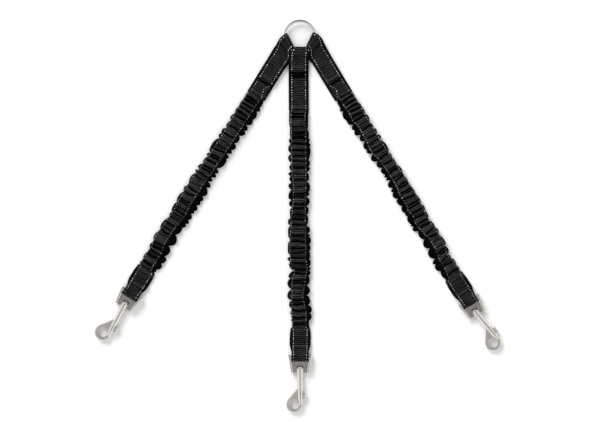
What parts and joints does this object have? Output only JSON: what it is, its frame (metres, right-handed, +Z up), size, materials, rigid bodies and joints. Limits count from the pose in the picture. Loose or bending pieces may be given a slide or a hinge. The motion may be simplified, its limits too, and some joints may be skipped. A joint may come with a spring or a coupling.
{
  "type": "elastic lanyard",
  "caption": "Three elastic webbing legs on a welded ring, each gathered over a stretch core and ending in a swivel bolt snap hook",
  "frame": {"origin": "centre of the welded ring", "axes": "+Z up from the surface the lanyard lies on, middle leg along -Y, +X to the right-hand leg"},
  "size_m": [0.5081, 0.4911, 0.0101],
  "materials": {
    "ring_nickel": "round steel wire, butt welded and nickel plated, polished",
    "webbing": "black woven nylon tubular webbing with cross ribs",
    "gathered_webbing": "black woven nylon webbing gathered over elastic, reflective thread along both edges",
    "elastic": "black braided elastic",
    "thread": "black bonded sewing thread, dense bar tack",
    "satin_nickel": "cast zinc, nickel plated, satin tumbled",
    "polished_nickel": "turned steel, nickel plated, polished",
    "spring_steel": "bare spring wire"
  },
  "bodies": {
    "middle_loop": {"middle_upper_loop": "webbing", "middle_upper_bar_tack": "thread"},
    "ring": {"welded_ring": "ring_nickel"},
    "left_loop": {"left_upper_loop": "webbing", "left_upper_bar_tack": "thread"},
    "left_leg": {"left_upper_strap": "webbing", "left_front_web": "gathered_webbing", "left_back_web": "gathered_webbing", "left_elastic_band": "elastic"},
    "left_end": {"left_lower_strap": "webbing", "left_lower_bar_tack": "thread"},
    "left_yoke": {"left_swivel_yoke": "satin_nickel"},
    "left_hook": {"left_swivel_rivet": "polished_nickel", "left_hook_body": "satin_nickel"},
    "left_gate": {"left_gate_bolt": "polished_nickel", "left_thumb_knob": "satin_nickel", "left_gate_spring": "spring_steel"},
    "middle_leg": {"middle_upper_strap": "webbing", "middle_front_web": "gathered_webbing", "middle_back_web": "gathered_webbing", "middle_elastic_band": "elastic"},
    "middle_end": {"middle_lower_strap": "webbing", "middle_lower_bar_tack": "thread"},
    "middle_yoke": {"middle_swivel_yoke": "satin_nickel"},
    "middle_hook": {"middle_swivel_rivet": "polished_nickel", "middle_hook_body": "satin_nickel"},
    "middle_gate": {"middle_gate_bolt": "polished_nickel", "middle_thumb_knob": "satin_nickel", "middle_gate_spring": "spring_steel"},
    "right_loop": {"right_upper_loop": "webbing", "right_upper_bar_tack": "thread"},
    "right_leg": {"right_upper_strap": "webbing", "right_front_web": "gathered_webbing", "right_back_web": "gathered_webbing", "right_elastic_band": "elastic"},
    "right_end": {"right_lower_strap": "webbing", "right_lower_bar_tack": "thread"},
    "right_yoke": {"right_swivel_yoke": "satin_nickel"},
    "right_hook": {"right_swivel_rivet": "polished_nickel", "right_hook_body": "satin_nickel"},
    "right_gate": {"right_gate_bolt": "polished_nickel", "right_thumb_knob": "satin_nickel", "right_gate_spring": "spring_steel"}
  },
  "joints": [
    {"name": "ring_turn", "type": "hinge", "parent": "middle_loop", "child": "ring", "pos_m": [0, 0, 0], "axis": [0, 0, 1], "continuous": true},
    {"name": "left_leg_swing", "type": "hinge", "parent": "middle_loop", "child": "left_loop", "pos_m": [0, 0, 0], "axis": [0, 0, -1], "range_deg": [0, 64]},
    {"name": "left_leg_fold", "type": "hinge", "parent": "left_loop", "child": "left_leg", "pos_m": [-0.04621, -0.05791, -0.0027], "axis": [-0.848, 0.5299, 0], "range_deg": [-90, 90]},
    {"name": "left_leg_stretch", "type": "slide", "parent": "left_leg", "child": "left_end", "axis": [-0.5299, -0.848, 0], "range_m": [0, 0.15], "stiffness_N_per_m": 120, "deforming": ["left_front_web", "left_back_web", "left_elastic_band"]},
    {"name": "left_yoke_pivot", "type": "hinge", "parent": "left_end", "child": "left_yoke", "pos_m": [-0.21102, -0.32166, -0.0003], "axis": [-0.848, 0.5299, 0], "range_deg": [-90, 90]},
    {"name": "left_hook_swivel", "type": "hinge", "parent": "left_yoke", "child": "left_hook", "pos_m": [-0.21976, -0.33565, -0.0003], "axis": [-0.4633, -0.8862, 0], "continuous": true},
    {"name": "left_gate_open", "type": "slide", "parent": "left_hook", "child": "left_gate", "axis": [0.4633, 0.8862, 0], "range_m": [0, 0.007], "stiffness_N_per_m": 400, "springref_m": -0.006, "deforming": ["left_gate_spring"]},
    {"name": "middle_leg_fold", "type": "hinge", "parent": "middle_loop", "child": "middle_leg", "pos_m": [0, -0.0466, -0.0027], "axis": [-1, 0, 0], "range_deg": [-90, 90]},
    {"name": "middle_leg_stretch", "type": "slide", "parent": "middle_leg", "child": "middle_end", "axis": [0, -1, 0], "range_m": [0, 0.15], "stiffness_N_per_m": 120, "deforming": ["middle_front_web", "middle_back_web", "middle_elastic_band"]},
    {"name": "middle_yoke_pivot", "type": "hinge", "parent": "middle_end", "child": "middle_yoke", "pos_m": [0, -0.4006, -0.0003], "axis": [-1, 0, 0], "range_deg": [-90, 90]},
    {"name": "middle_hook_swivel", "type": "hinge", "parent": "middle_yoke", "child": "middle_hook", "pos_m": [0, -0.4171, -0.0003], "axis": [0.0175, -0.9998, 0], "continuous": true},
    {"name": "middle_gate_open", "type": "slide", "parent": "middle_hook", "child": "middle_gate", "axis": [-0.0175, 0.9998, 0], "range_m": [0, 0.007], "stiffness_N_per_m": 400, "springref_m": -0.006, "deforming": ["middle_gate_spring"]},
    {"name": "right_leg_swing", "type": "hinge", "parent": "middle_loop", "child": "right_loop", "pos_m": [0, 0, 0], "axis": [0, 0, 1], "range_deg": [0, 64]},
    {"name": "right_leg_fold", "type": "hinge", "parent": "right_loop", "child": "right_leg", "pos_m": [0.04734, -0.05742, -0.0027], "axis": [-0.8572, -0.515, 0], "range_deg": [-90, 90]},
    {"name": "right_leg_stretch", "type": "slide", "parent": "right_leg", "child": "right_end", "axis": [0.515, -0.8572, 0], "range_m": [0, 0.15], "stiffness_N_per_m": 120, "deforming": ["right_front_web", "right_back_web", "right_elastic_band"]},
    {"name": "right_yoke_pivot", "type": "hinge", "parent": "right_end", "child": "right_yoke", "pos_m": [0.21163, -0.33086, -0.0003], "axis": [-0.8572, -0.515, 0], "range_deg": [-90, 90]},
    {"name": "right_hook_swivel", "type": "hinge", "parent": "right_yoke", "child": "right_hook", "pos_m": [0.22013, -0.345, -0.0003], "axis": [0.6428, -0.766, 0], "continuous": true},
    {"name": "right_gate_open", "type": "slide", "parent": "right_hook", "child": "right_gate", "axis": [-0.6428, 0.766, 0], "range_m": [0, 0.007], "stiffness_N_per_m": 400, "springref_m": -0.006, "deforming": ["right_gate_spring"]}
  ]
}
